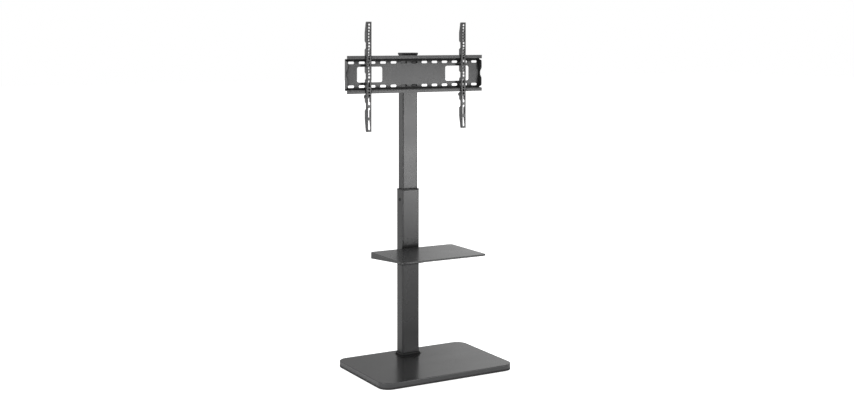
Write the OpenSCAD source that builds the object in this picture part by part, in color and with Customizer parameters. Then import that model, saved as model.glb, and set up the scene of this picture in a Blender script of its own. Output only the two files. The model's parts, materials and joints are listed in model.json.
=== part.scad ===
// Floor stand for a television: a round-cornered base board, a telescopic post with a
// tray shelf, and a mount plate that two hook-on arms slide along.
// X runs to the right seen from the front, Y to the back, Z up. The origin is on the
// floor, under the middle of the base board.

/* [Base board] */
// Width of the base board
base_w = 600; // [520:5:760]
// Depth of the base board, front to back
base_d = 420; // [390:5:560]
// Thickness of the base board
base_t = 25; // [20:1:36]
// Radius of the board's corners seen from above
base_corner_r = 46; // [20:1:80]
// Radius of the board's eased edges
base_edge_r = 2; // [1:0.5:5]
// Diameter of a rubber pad under the board
pad_d = 32; // [20:1:45]
// Thickness of a rubber pad
pad_t = 3; // [2:0.5:6]
// Distance of a pad's centre from the board's edge
pad_inset = 48; // [36:1:70]
// Distance from the back edge of the board to the middle of the post
post_setback = 68; // [60:1:120]

/* [Foot of the post] */
// How far the welded foot plate stands out round the tube
foot_plate_rim = 2; // [1:0.5:4]
// Thickness of the welded foot plate
foot_plate_t = 6; // [4:0.5:10]
// Wall of the plastic trim collar round the foot plate
collar_wall = 3; // [2:0.5:5]
// Height of the trim collar
collar_h = 9; // [8:0.5:14]
// Radius on the collar's outer top edge
collar_edge_r = 2; // [1:0.5:2.5]
// Left to right spacing of the four foot bolts
foot_bolt_dx = 44; // [30:1:50]
// Front to back spacing of the four foot bolts
foot_bolt_dy = 22; // [16:1:24]
// Thread radius of a foot bolt
foot_bolt_r = 4; // [3:0.5:5]
// Radius of a foot bolt's round head
foot_head_r = 6.5; // [5:0.5:8]
// Height of a foot bolt's round head
foot_head_h = 4.5; // [3:0.5:6]
// Width across flats of a foot bolt's hexagon socket
foot_socket_w = 5; // [4:0.5:6]
// Depth of a foot bolt's hexagon socket
foot_socket_depth = 2.5; // [1.5:0.5:2.5]
// Radius of a foot bolt's washer
foot_washer_r = 9; // [8:0.5:12]
// Thickness of a foot bolt's washer
foot_washer_t = 1.6; // [1:0.2:2.4]
// Depth of the counterbore that hides a foot bolt's head
foot_sink_depth = 9; // [7:0.5:12]
// Length of a foot bolt under its head
foot_bolt_len = 25; // [22:1:35]

/* [Lower tube] */
// Width of the lower tube
lower_w = 80; // [70:1:100]
// Depth of the lower tube, front to back
lower_d = 50; // [44:1:70]
// Wall of the lower tube
lower_wall = 2; // [1.5:0.5:3]
// Outer corner radius of the lower tube
lower_corner_r = 5; // [4:0.5:8]
// Length of the lower tube
lower_len = 680; // [600:10:800]

/* [Guide bushing and lock screw] */
// How far the bushing's lip stands out over the lower tube
bushing_rim = 1; // [0.5:0.5:3]
// Thickness of the bushing's lip
bushing_lip_t = 3.5; // [2:0.5:6]
// Radius of the lip's rounded top edge
bushing_edge_r = 1.5; // [0.5:0.5:2]
// Length of the bushing's sleeve inside the lower tube
bushing_len = 26; // [16:1:34]
// Distance of the lock screw below the top of the lower tube
lock_drop = 41; // [36:1:60]
// Thread radius of the lock screw
lock_r = 3; // [2.5:0.5:4]
// Radius of the lock screw's button head
lock_head_r = 5.2; // [4:0.1:7]
// Height of the lock screw's button head
lock_head_h = 3; // [2:0.5:4]
// Width across flats of the lock screw's hexagon socket
lock_socket_w = 4; // [3:0.5:5]
// Depth of the lock screw's hexagon socket
lock_socket_depth = 2; // [1:0.5:3]
// Outer radius of the threaded insert that the lock screw turns in
insert_r = 4.75; // [4:0.25:6]
// Length of the threaded insert
insert_len = 4.4; // [3:0.2:4.6]

/* [Upper tube] */
// Width of the upper tube
upper_w = 70; // [60:1:90]
// Depth of the upper tube, front to back
upper_d = 40; // [34:1:60]
// Wall of the upper tube
upper_wall = 2; // [1.5:0.5:3]
// Outer corner radius of the upper tube
upper_corner_r = 4; // [3:0.5:6]
// Length of the upper tube
upper_len = 895; // [800:5:950]
// How far the upper tube stands out of the lower one, as drawn
upper_reach = 562; // [470:2:620]
// Length of the glide shoe's sleeve round the tube's lower end
shoe_len = 40; // [25:1:60]
// Thickness of the glide shoe's bottom
shoe_floor = 5; // [3:0.5:8]
// Width of the opening through the glide shoe
shoe_hole_w = 46; // [30:1:52]
// Depth of the opening through the glide shoe
shoe_hole_d = 20; // [14:1:26]
// How far the top cap stands out round the tube
cap_rim = 3; // [1:0.5:5]
// Height of the cap above the tube's end
cap_h = 9; // [5:0.5:14]
// Radius of the cap's rounded edges
cap_edge_r = 2.5; // [1:0.5:4]
// Length of the cap's plug inside the tube
cap_plug_len = 16; // [10:1:30]
// Wall of the cap's plug
cap_plug_wall = 2.5; // [1.5:0.5:4]

/* [Saddle bracket] */
// Height of the saddle bracket
saddle_h = 126; // [100:2:140]
// Thickness of the saddle bracket's sheet
saddle_t = 3; // [2:0.5:4]
// Inner bend radius between the saddle's web and its cheeks
saddle_bend_r = 3; // [2:0.5:5]
// Corner radius at the back ends of the saddle's cheeks
saddle_tip_r = 14; // [6:1:20]
// Gap between the upper tube's front and the back of the mount plate
stand_off = 32.5; // [20:0.5:50]
// Distance of the mount plate's middle below the top of the upper tube
head_drop = 78; // [70:1:120]
// Vertical spacing of the two cross bolts
cross_bolt_dz = 80; // [60:2:100]
// Thread radius of a cross bolt
cross_bolt_r = 4; // [3:0.5:5]
// Width across flats of a cross bolt's head and nut
cross_flats = 13; // [10:1:17]
// Height of a cross bolt's head
cross_head_h = 5.3; // [4:0.1:7]
// Height of a cross bolt's nut
cross_nut_h = 6.5; // [5:0.5:8]
// Radius of a cross bolt's washer
cross_washer_r = 8; // [7.5:0.5:10]
// Thickness of a cross bolt's washer
cross_washer_t = 1.6; // [1:0.2:2.4]
// How far a cross bolt's end stands out of its nut
cross_tail = 3; // [1:0.5:6]
// Left to right spacing of the weld studs on the mount plate's back
stud_dx = 42; // [30:1:44]
// Vertical spacing of those studs
stud_dz = 60; // [40:1:70]
// Radius of a weld stud
stud_r = 3; // [2.5:0.5:4]
// Length of a weld stud
stud_len = 12; // [10:1:16]
// Flange radius of a stud's nut
stud_nut_flange_r = 6; // [5:0.5:7]
// Width across flats of a stud's nut
stud_nut_flats = 10; // [8:1:13]
// Height of a stud's nut with its flange
stud_nut_h = 6; // [4:0.5:8]

/* [Mount plate] */
// Width of the mount plate
plate_w = 636; // [600:2:700]
// Height of the mount plate from lip to lip
plate_h = 153; // [140:1:170]
// Height of the tray between the outsides of its two flanges
tray_h = 128; // [118:1:140]
// Depth of the mount plate, front to back
tray_depth = 22.5; // [18:0.5:28]
// Thickness of the mount plate's sheet
plate_t = 2.5; // [2:0.5:3]
// Outer bend radius of the mount plate
plate_bend_r = 4; // [3:0.5:6]
// Number of fixing slots in each row
slot_count = 13; // [9:2:13]
// Spacing of the fixing slots
slot_pitch = 48.5; // [46:0.5:50]
// Length of a fixing slot, end to end
slot_len = 28; // [20:1:34]
// Radius of a fixing slot's ends
slot_r = 5; // [3:0.5:6]
// Vertical spacing of the two slot rows
slot_row_dz = 96; // [84:1:104]
// Width of a window
window_w = 116; // [80:2:120]
// Height of a window
window_h = 63; // [40:1:66]
// Corner radius of a window
window_r = 9; // [5:1:14]
// Distance of a window's middle from the plate's middle
window_x = 206.5; // [200:0.5:210]
// Height of the end flanges
end_flange_h = 118; // [90:2:120]
// Corner bevel of the end flanges
end_flange_bevel = 6; // [3:1:10]
// Depth of the notch in each end flange
end_notch_depth = 14; // [6:1:16]
// Height of that notch at its mouth
end_notch_mouth = 46; // [30:2:60]
// Height of that notch at its bottom
end_notch_floor = 14; // [8:2:24]

/* [Arms] */
// Distance of each arm from the plate's middle, as drawn
arm_x = 223; // [150:1:290]
// Length of an arm
arm_len = 445; // [430:1:470]
// Height of an arm's top end above the plate's middle
arm_rise = 214; // [205:1:225]
// Width of an arm's front face
arm_w = 23; // [21:0.5:26]
// Full depth of an arm, front to back
arm_depth = 19; // [18:0.5:22]
// Thickness of an arm's sheet
arm_t = 2; // [1.5:0.5:2.5]
// Outer bend radius of an arm
arm_bend_r = 3; // [2.5:0.5:4]
// Gap between the inside of an arm's face and the lips of the mount plate
lip_gap = 5; // [3:0.5:8]
// Diameter of the round screw holes in an arm
arm_hole_d = 8.5; // [6:0.5:9]
// Spacing of the round screw holes
arm_hole_pitch = 12.5; // [12:0.5:14]
// Distance of the first round hole from the top end
arm_hole_start = 12; // [10:1:14]
// Number of round holes in the upper row
arm_hole_count = 17; // [12:1:17]
// Diameter of the large middle hole
arm_middle_hole_d = 9.5; // [8:0.5:10]
// Length of the short slot below the middle hole
arm_short_slot = 28; // [20:1:30]
// Gap between one long slot and the next
arm_slot_gap = 10; // [8:0.5:10]
// Length of the first long slot
arm_slot_a = 30; // [24:1:34]
// Length of the second and third long slots
arm_slot_b = 40; // [34:1:42]
// Depth of an arm at its two ends
arm_end_depth = 9; // [6:0.5:14]
// Depth that is left at the two notches and at the waist in the tray
arm_notch_depth = 9; // [7:0.5:12]
// Length of the slope at each end of a notch or the waist
arm_notch_slope = 7; // [3:0.5:10]
// Height of each of the two blocks that stand in the tray
arm_block_h = 37; // [30:1:42]
// Height of the cheeks that carry the latch, below the mount plate
arm_latch_h = 32; // [30:0.5:36]

/* [Latches] */
// Radius of the pin that a latch swings on
latch_pin_r = 2.5; // [2:0.5:3]
// Head radius of a latch pin
latch_pin_head_r = 4; // [3.5:0.5:5]
// Head thickness of a latch pin
latch_pin_head_t = 1.5; // [1:0.5:2.5]
// Distance of the latch pin below the lip of the mount plate
latch_drop = 11; // [10.5:0.5:13]
// Distance of the latch pin behind an arm's front
latch_pin_depth = 12.5; // [11.5:0.5:13]
// Thickness of the latch's nose
latch_nose_t = 4.5; // [3:0.5:5]
// Wall of the latch round its pin
latch_wall = 2.5; // [2:0.25:3]
// How far the latch's thumb tab reaches behind an arm's front
latch_tab_depth = 31; // [29:0.5:33]
// Radius of the thumb tab's round end
latch_tab_r = 7; // [6:0.5:8]
// Distance of the thumb tab's middle below the latch pin
latch_tab_drop = 2; // [0.5:0.5:3]

/* [Shelf] */
// Width of the shelf tray
shelf_w = 390; // [320:5:420]
// Depth of the shelf tray
shelf_d = 280; // [200:2:290]
// Height of the tray's top above the foot of the lower tube
shelf_rise = 440; // [380:5:480]
// Thickness of the tray's sheet
shelf_t = 2; // [1.5:0.5:3]
// Height of the tray's wall at the back
shelf_back_h = 25; // [22:1:34]
// Height of the tray's lip at the front
shelf_front_h = 6.5; // [6:0.5:16]
// Corner radius of the tray seen from above
shelf_corner_r = 18; // [12:1:40]
// Outer bend radius of the tray's edges
shelf_edge_r = 3; // [2.5:0.5:5]
// Width of the bracket's channel under the tray
channel_w = 44; // [36:1:60]
// Depth of that channel at the post
channel_h = 22; // [16:1:26]
// Depth of that channel at its front end
channel_tip_h = 12; // [8:1:16]
// Length of that channel
channel_len = 170; // [120:5:220]
// Thickness of the shelf bracket's sheet
bracket_t = 3; // [2:0.5:4]
// Thickness of the bracket's back plate
back_plate_t = 4; // [3:0.5:5]
// Height of the bracket's back plate
back_plate_h = 66; // [50:1:90]
// Width of each ear beside the post
ear_w = 19; // [16:1:26]
// Height of the strap round the post
strap_h = 46; // [36:1:60]
// Thickness of the strap
strap_t = 2.5; // [2:0.5:4]
// Vertical spacing of the clamp bolts
clamp_dz = 26; // [18:1:34]
// Thread radius of a clamp bolt
clamp_r = 3; // [2.5:0.5:4]
// Width across flats of a clamp bolt's head and nut
clamp_flats = 10; // [8:1:13]
// Height of a clamp bolt's head
clamp_head_h = 4; // [3:0.5:6]
// Height of a clamp bolt's nut
clamp_nut_h = 5; // [4:0.5:7]
// How far a clamp bolt's end stands out of its nut
clamp_tail = 2; // [1:0.5:4]
// Left to right spacing of the tray's weld studs
tray_stud_dx = 24; // [16:1:28]
// Front to back spacing of the tray's weld studs
tray_stud_dy = 100; // [60:5:140]
// Radius of a tray stud
tray_stud_r = 2.5; // [2:0.5:3]
// Length of a tray stud
tray_stud_len = 10; // [8:1:14]
// Width across flats of a tray stud's nut
tray_nut_flats = 8; // [7:1:10]
// Height of a tray stud's nut
tray_nut_h = 4; // [3:0.5:6]

/* [Fits] */
// Gap between fixed pieces that slip over each other
slip_gap = 0.2; // [0.1:0.1:0.4]
// Gap between pieces that slide on each other
slide_gap = 0.3; // [0.2:0.1:0.5]
// Radial gap of a turning pin or screw
turn_gap = 0.05; // [0.02:0.01:0.1]
// Gap round a fixed bolt in its hole
bolt_gap = 0.3; // [0.2:0.1:0.6]
// Free gap between the arms and the lips of the mount plate
hook_gap = 0.8; // [0.5:0.1:1.2]
// How far each cut runs on past the face that it opens
cut_over = 1; // [0.5:0.5:2]

/* [Hidden] */
// Facets on round forms, and on hexagons
round_fn = 64;
hex_fn = 6;

coat = "#4a4b4d";
coat_light = "#57585a";
plastic = "#232425";
steel = "#8b8d90";
board_colour = "#4f5052";

// Heights and places along the post
board_top = pad_t + base_t;
post_y = base_d / 2 - post_setback;
lower_z = board_top + foot_plate_t;
lower_top = lower_z + lower_len;
upper_top = lower_top + upper_reach;
upper_z = upper_top - upper_len;
lock_z = lower_top - lock_drop;
plate_z = upper_top - head_drop;
plate_back = post_y - upper_d / 2 - stand_off;
lip_front = plate_back - tray_depth;
arm_front = lip_front - lip_gap - arm_t;

// The sleeve of the guide bushing and the shoe run between the two tubes
lower_in_w = lower_w - 2 * lower_wall;
lower_in_d = lower_d - 2 * lower_wall;
lower_in_r = lower_corner_r - lower_wall;
upper_in_w = upper_w - 2 * upper_wall;
upper_in_d = upper_d - 2 * upper_wall;
upper_in_r = upper_corner_r - upper_wall;

// Foot plate and its trim collar
foot_plate_w = lower_w + 2 * foot_plate_rim;
foot_plate_d = lower_d + 2 * foot_plate_rim;
foot_plate_r = lower_corner_r + foot_plate_rim;
collar_in_w = foot_plate_w + 2 * slide_gap;
collar_in_d = foot_plate_d + 2 * slide_gap;
collar_in_r = foot_plate_r + slide_gap;

// The saddle bracket stands on the plate's back and holds the upper tube between its cheeks
saddle_out_w = upper_w + 2 * saddle_t;
saddle_depth = stand_off + upper_d;
cross_len = saddle_out_w + 2 * cross_washer_t + cross_nut_h + cross_tail;

// Heights on the mount plate, counted from its middle
lip_top = plate_h / 2;
flange_top = tray_h / 2;
panel_in = flange_top - plate_t;

// Places on an arm's side profile: depth behind its front, and height above the plate's middle
arm_bottom = arm_rise - arm_len;
lip_near = lip_gap + arm_t - hook_gap;
lip_far = lip_gap + arm_t + plate_t + hook_gap;
hook_floor = flange_top + hook_gap;
hook_roof = lip_top + slide_gap;
block_top = panel_in - (lip_top - flange_top) - 2 * hook_gap;
block_low = hook_gap * 2 - panel_in;
waist_top = block_top - arm_block_h;
waist_low = block_low + arm_block_h;
cheek_top = -lip_top - hook_gap;
cheek_low = cheek_top - arm_latch_h;
// Shares of the way from the plate's upper lip to the arm's top end, at which the upper notch
// starts and ends and the top taper starts, and of the way from the latch to the bottom end,
// at which the lower notch ends and the bottom taper starts
arm_top_shares = [0.175, 0.43, 0.675];
arm_low_shares = [0.29, 0.57];
top_marks = [for (share = arm_top_shares) lip_top + share * (arm_rise - lip_top)];
low_marks = [for (share = arm_low_shares) cheek_low + share * (arm_bottom - cheek_low)];
arm_profile = [
  [0, arm_rise], [arm_end_depth, arm_rise], [arm_depth, top_marks[2]],
  [arm_depth, top_marks[1]], [arm_notch_depth, top_marks[1] - arm_notch_slope],
  [arm_notch_depth, top_marks[0] + arm_notch_slope], [arm_depth, top_marks[0]],
  [arm_depth, hook_floor], [lip_far, hook_floor], [lip_far, hook_roof],
  [lip_near, hook_roof], [lip_near, block_top], [arm_depth, block_top],
  [arm_depth, waist_top], [arm_notch_depth, waist_top - arm_notch_slope],
  [arm_notch_depth, waist_low + arm_notch_slope], [arm_depth, waist_low],
  [arm_depth, block_low], [lip_near, block_low], [lip_near, cheek_top],
  [arm_depth, cheek_top - arm_bend_r],
  [arm_depth, cheek_low], [arm_notch_depth, cheek_low - arm_notch_slope],
  [arm_notch_depth, low_marks[0] + arm_notch_slope], [arm_depth, low_marks[0]],
  [arm_depth, low_marks[1]], [arm_end_depth, arm_bottom], [0, arm_bottom]
];

// Screw holes of an arm, as heights above the plate's middle
first_hole = arm_rise - arm_hole_start;
middle_hole = first_hole - arm_hole_count * arm_hole_pitch;
short_slot_mid = middle_hole - arm_hole_pitch - arm_short_slot / 2;
low_holes = [for (i = [0 : 2]) short_slot_mid - arm_short_slot / 2 - arm_hole_d - i * arm_hole_pitch];
slot_a_mid = low_holes[2] - arm_hole_d - arm_slot_a / 2;
slot_b_mid = slot_a_mid - arm_slot_a / 2 - arm_slot_gap - arm_slot_b / 2;
slot_c_mid = slot_b_mid - arm_slot_b - arm_slot_gap;

// Latch, below the lip of the mount plate: a hub on the pin, a nose up behind the lip and a
// thumb tab to the back. The nose and the link start a little inside the round forms.
latch_w = arm_w - 2 * arm_t - 2 * slide_gap;
latch_bore_r = latch_pin_r + turn_gap;
latch_hub_r = latch_bore_r + latch_wall;
latch_z = -lip_top - latch_drop;
latch_nose_top = -flange_top - hook_gap;
latch_tab_x = latch_tab_depth - latch_tab_r;
latch_tab_z = latch_z - latch_tab_drop;
link_share = 0.85;
latch_nose = [
  [lip_far, latch_nose_top - latch_nose_t / 2], [lip_far + latch_nose_t / 2, latch_nose_top],
  [lip_far + latch_nose_t, latch_nose_top],
  [lip_far + latch_nose_t, latch_z - latch_pin_r / 2], [lip_far, latch_z - latch_pin_r / 2]
];
latch_link = [
  [latch_pin_depth + latch_pin_r / 2, latch_z + latch_hub_r * link_share],
  [latch_tab_x + latch_tab_r / 4, latch_tab_z + latch_tab_r * link_share],
  [latch_tab_x + latch_tab_r / 4, latch_tab_z - latch_tab_r * link_share],
  [latch_pin_depth + latch_pin_r / 2, latch_z - latch_hub_r * link_share]
];

// Shelf
shelf_z = lower_z + shelf_rise;
bracket_back = post_y - lower_d / 2;
shelf_back = bracket_back - back_plate_t;
shelf_mid_y = shelf_back - shelf_d / 2;
bracket_top = shelf_z - shelf_t;
ear_x = lower_w / 2 + strap_t + ear_w;
ear_bolt_x = (lower_w / 2 + strap_t + ear_x) / 2;
strap_top = bracket_top - channel_h + strap_t;
strap_mid_z = strap_top - strap_h / 2;
stud_mid_y = shelf_back - channel_len / 2;

// Rounded rectangle seen from above, drawn from two squares and four round corners
module rounded_flat(w, d, r) {
  square([w - 2 * r, d], center = true);
  square([w, d - 2 * r], center = true);
  for (sx = [-1, 1], sy = [-1, 1])
    translate([sx * (w / 2 - r), sy * (d / 2 - r)])
      circle(r = r, $fn = round_fn);
}

// Straight block with rounded upright corners, standing on z = 0
module rounded_block(w, d, h, r) {
  linear_extrude(height = h)
    rounded_flat(w, d, r);
}

// Half of a slab's edge: a rectangle from the axis out to r with its outer corners rounded
module eased_half(r, h, e) {
  square([r - e, h]);
  translate([0, e])
    square([r, h - 2 * e]);
  for (z = [e, h - e])
    translate([r - e, z])
      circle(r = e, $fn = round_fn);
}

// Slab with rounded upright corners r and eased top and bottom edges e
module eased_slab(w, d, h, r, e) {
  for (a = [0 : 90 : 270])
    let (long = a % 180 == 0 ? w : d, wide = a % 180 == 0 ? d : w)
      rotate([0, 0, a])
        translate([long / 2 - r, wide / 2 - r, 0])
          rotate_extrude(angle = 90, $fn = round_fn)
            eased_half(r, h, e);
  translate([0, 0, h / 2]) {
    rotate([90, 0, 90])
      linear_extrude(height = w - 2 * r, center = true)
        rounded_flat(d, h, e);
    rotate([90, 0, 0])
      linear_extrude(height = d - 2 * r, center = true)
        rounded_flat(w, h, e);
  }
}

// Straight slot with round ends, lying along X
module slot_flat(len, r) {
  square([len - 2 * r, 2 * r], center = true);
  for (sx = [-1, 1])
    translate([sx * (len / 2 - r), 0])
      circle(r = r, $fn = round_fn);
}

// Rod along Z, standing on z = 0
module rod(r, h) {
  cylinder(r = r, h = h, $fn = round_fn);
}

// Hexagon along Z, given across its flats
module hex(flats, h) {
  cylinder(d = flats / cos(180 / hex_fn), h = h, $fn = hex_fn);
}

// Cutters along Z: a bore right through h, and sockets that open downward at z = 0
module bore(r, h) {
  translate([0, 0, -cut_over])
    rod(r, h + 2 * cut_over);
}
module sink(r, depth) {
  translate([0, 0, -cut_over])
    rod(r, depth + cut_over);
}
module hex_sink(flats, depth) {
  translate([0, 0, -cut_over])
    hex(flats, depth + cut_over);
}
module shaft(w, d, h, r) {
  translate([0, 0, -cut_over])
    rounded_block(w, d, h + 2 * cut_over, r);
}

// Children repeated at the four corners of a rectangle in X and Y
module at_four(dx, dy) {
  for (sx = [-1, 1], sy = [-1, 1])
    translate([sx * dx / 2, sy * dy / 2, 0])
      children();
}

// Children turned so that their Z points along X, Y or -Y
module along_x() { rotate([0, 90, 0]) children(); }
module along_y() { rotate([-90, 0, 0]) children(); }
module against_y() { rotate([90, 0, 0]) children(); }

// Side profile in depth and height, extruded across X with its middle on x = 0
module side_profile(width) {
  rotate([90, 0, 90])
    linear_extrude(height = width, center = true)
      children();
}

module base_board() {
  color(board_colour)
    difference() {
      translate([0, 0, pad_t])
        eased_slab(base_w, base_d, base_t, base_corner_r, base_edge_r);
      translate([0, post_y, pad_t])
        at_four(foot_bolt_dx, foot_bolt_dy) {
          bore(foot_bolt_r + bolt_gap, base_t);
          sink(foot_washer_r + slip_gap, foot_sink_depth);
        }
    }
}

module base_pads() {
  color(plastic)
    for (sx = [-1, 1], sy = [-1, 0, 1])
      translate([sx * (base_w / 2 - pad_inset), sy * (base_d / 2 - pad_inset), 0])
        rod(pad_d / 2, pad_t);
}

module foot_washers() {
  color(steel)
    translate([0, post_y, pad_t + foot_sink_depth - foot_washer_t])
      at_four(foot_bolt_dx, foot_bolt_dy)
        difference() {
          rod(foot_washer_r, foot_washer_t);
          bore(foot_bolt_r + bolt_gap, foot_washer_t);
        }
}

module foot_bolts() {
  color(steel)
    translate([0, post_y, pad_t + foot_sink_depth - foot_washer_t])
      at_four(foot_bolt_dx, foot_bolt_dy) {
        rod(foot_bolt_r, foot_bolt_len);
        translate([0, 0, -foot_head_h])
          difference() {
            rod(foot_head_r, foot_head_h);
            hex_sink(foot_socket_w, foot_socket_depth);
          }
      }
}

module foot_plate() {
  color(coat)
    translate([0, post_y, board_top])
      difference() {
        rounded_block(foot_plate_w, foot_plate_d, foot_plate_t, foot_plate_r);
        at_four(foot_bolt_dx, foot_bolt_dy)
          bore(foot_bolt_r + turn_gap, foot_plate_t);
      }
}

module foot_collar() {
  color(plastic)
    translate([0, post_y, board_top])
      difference() {
        intersection() {
          translate([0, 0, -collar_edge_r])
            eased_slab(
              collar_in_w + 2 * collar_wall, collar_in_d + 2 * collar_wall,
              collar_h + collar_edge_r, collar_in_r + collar_wall, collar_edge_r
            );
          rounded_block(
            collar_in_w + 2 * collar_wall, collar_in_d + 2 * collar_wall,
            collar_h, collar_in_r + collar_wall
          );
        }
        translate([0, 0, -cut_over])
          rounded_block(
            collar_in_w, collar_in_d, foot_plate_t + slide_gap + cut_over, collar_in_r
          );
        shaft(
          lower_w + 2 * slip_gap, lower_d + 2 * slip_gap, collar_h, lower_corner_r + slip_gap
        );
      }
}

module lower_tube() {
  color(coat)
    difference() {
      translate([0, post_y, lower_z])
        rounded_block(lower_w, lower_d, lower_len, lower_corner_r);
      translate([0, post_y, lower_z])
        shaft(lower_in_w, lower_in_d, lower_len, lower_in_r);
      translate([-lower_w / 2, post_y, lock_z])
        along_x()
          bore(insert_r, lower_wall);
    }
}

module guide_bushing() {
  color(plastic)
    translate([0, post_y, lower_top])
      difference() {
        union() {
          intersection() {
            translate([0, 0, -bushing_edge_r])
              eased_slab(
                lower_w + 2 * bushing_rim, lower_d + 2 * bushing_rim,
                bushing_lip_t + bushing_edge_r, lower_corner_r + bushing_rim, bushing_edge_r
              );
            rounded_block(
              lower_w + 2 * bushing_rim, lower_d + 2 * bushing_rim,
              bushing_lip_t, lower_corner_r + bushing_rim
            );
          }
          translate([0, 0, -bushing_len])
            rounded_block(
              lower_in_w - 2 * slip_gap, lower_in_d - 2 * slip_gap,
              bushing_len, lower_in_r - slip_gap
            );
        }
        translate([0, 0, -bushing_len])
          shaft(
            upper_w + 2 * slide_gap, upper_d + 2 * slide_gap,
            bushing_len + bushing_lip_t, upper_corner_r + slide_gap
          );
      }
}

module lock_insert() {
  color(steel)
    translate([-lower_w / 2, post_y, lock_z])
      along_x()
        difference() {
          rod(insert_r, insert_len);
          bore(lock_r + turn_gap, insert_len);
        }
}

module lock_screw() {
  color(plastic)
    translate([-lower_w / 2, post_y, lock_z])
      along_x()
        difference() {
          union() {
            rod(lock_r, (lower_w - upper_w) / 2 - turn_gap * 2);
            translate([0, 0, -lock_head_h - turn_gap])
              rod(lock_head_r, lock_head_h);
            translate([0, 0, -turn_gap])
              rod(lock_r, turn_gap);
          }
          translate([0, 0, -lock_head_h - turn_gap])
            hex_sink(lock_socket_w, lock_socket_depth);
        }
}

module upper_tube() {
  color(coat_light)
    difference() {
      translate([0, post_y, upper_z])
        rounded_block(upper_w, upper_d, upper_len, upper_corner_r);
      translate([0, post_y, upper_z])
        shaft(upper_in_w, upper_in_d, upper_len, upper_in_r);
      for (sz = [-1, 1])
        translate([-upper_w / 2, post_y, plate_z + sz * cross_bolt_dz / 2])
          along_x()
            bore(cross_bolt_r + bolt_gap, upper_w);
    }
}

module glide_shoe() {
  color(plastic)
    translate([0, post_y, upper_z])
      difference() {
        translate([0, 0, -shoe_floor])
          rounded_block(
            lower_in_w - 2 * slide_gap, lower_in_d - 2 * slide_gap,
            shoe_floor + shoe_len, lower_in_r - slide_gap
          );
        difference() {
          rounded_block(upper_w, upper_d, shoe_len + cut_over, upper_corner_r);
          translate([0, 0, -cut_over])
            rounded_block(upper_in_w, upper_in_d, shoe_len / 2 + cut_over, upper_in_r);
        }
        translate([0, 0, -shoe_floor])
          shaft(shoe_hole_w, shoe_hole_d, shoe_floor + shoe_len, upper_in_r);
      }
}

module top_cap() {
  color(plastic)
    translate([0, post_y, upper_top]) {
      eased_slab(
        upper_w + 2 * cap_rim, upper_d + 2 * cap_rim, cap_h, upper_corner_r + cap_rim, cap_edge_r
      );
      translate([0, 0, -cap_plug_len])
        difference() {
          rounded_block(
            upper_in_w - 2 * slip_gap, upper_in_d - 2 * slip_gap,
            cap_plug_len, upper_in_r - slip_gap
          );
          translate([0, 0, -cut_over])
            rounded_block(
              upper_in_w - 2 * cap_plug_wall, upper_in_d - 2 * cap_plug_wall,
              cap_plug_len + cut_over, upper_in_r - slip_gap
            );
        }
    }
}

// The saddle: its web lies on the mount plate, its cheeks run back beside the upper tube
module saddle_bracket() {
  color(coat)
    translate([0, plate_back, plate_z])
      difference() {
        intersection() {
          translate([0, saddle_depth, -saddle_h / 2])
            linear_extrude(height = saddle_h)
              difference() {
                rounded_flat(saddle_out_w, 2 * saddle_depth, saddle_bend_r + saddle_t);
                rounded_flat(upper_w, 2 * (saddle_depth - saddle_t), saddle_bend_r);
              }
          side_profile(saddle_out_w)
            rounded_flat(2 * saddle_depth, saddle_h, saddle_tip_r);
        }
        for (sz = [-1, 1])
          translate([-saddle_out_w / 2, post_y - plate_back, sz * cross_bolt_dz / 2])
            along_x()
              bore(cross_bolt_r + bolt_gap, saddle_out_w);
        for (sx = [-1, 1], sz = [-1, 1])
          translate([sx * stud_dx / 2, 0, sz * stud_dz / 2])
            along_y()
              bore(stud_r + bolt_gap, saddle_t);
      }
}

module cross_bolts() {
  color(steel)
    for (sz = [-1, 1])
      translate([-saddle_out_w / 2 - cross_washer_t, post_y, plate_z + sz * cross_bolt_dz / 2])
        along_x() {
          rod(cross_bolt_r, cross_len);
          translate([0, 0, -cross_head_h])
            hex(cross_flats, cross_head_h);
        }
}

module cross_washers() {
  color(steel)
    for (sx = [-1, 1], sz = [-1, 1])
      translate([
        sx * (saddle_out_w + cross_washer_t) / 2 - cross_washer_t / 2,
        post_y, plate_z + sz * cross_bolt_dz / 2
      ])
        along_x()
          difference() {
            rod(cross_washer_r, cross_washer_t);
            bore(cross_bolt_r + bolt_gap, cross_washer_t);
          }
}

module cross_nuts() {
  color(steel)
    for (sz = [-1, 1])
      translate([saddle_out_w / 2 + cross_washer_t, post_y, plate_z + sz * cross_bolt_dz / 2])
        along_x()
          difference() {
            hex(cross_flats, cross_nut_h);
            bore(cross_bolt_r + turn_gap, cross_nut_h);
          }
}

// Section of the mount plate in depth and height: a tray with two lips turned outward.
// Its back face is at depth zero and its front at -tray_depth.
module plate_section() {
  lip_len = lip_top - flange_top + plate_t;
  inner_r = plate_bend_r - plate_t;
  difference() {
    translate([-tray_depth / 2, 0])
      rounded_flat(tray_depth, tray_h, plate_bend_r);
    translate([-tray_depth / 2, 0])
      rounded_flat(tray_depth - 2 * plate_t, tray_h - 2 * plate_t, inner_r);
    translate([-tray_depth - cut_over, -tray_h / 2 - cut_over])
      square([plate_bend_r + cut_over, tray_h + 2 * cut_over]);
  }
  for (side = [-1, 1])
    scale([1, side]) {
      translate([-tray_depth, panel_in + plate_bend_r])
        square([plate_t, lip_len - plate_bend_r]);
      translate([plate_bend_r - tray_depth, panel_in + plate_bend_r])
        intersection() {
          difference() {
            circle(r = plate_bend_r, $fn = round_fn);
            circle(r = inner_r, $fn = round_fn);
          }
          translate([-plate_bend_r, -plate_bend_r])
            square(plate_bend_r);
        }
    }
}

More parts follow.
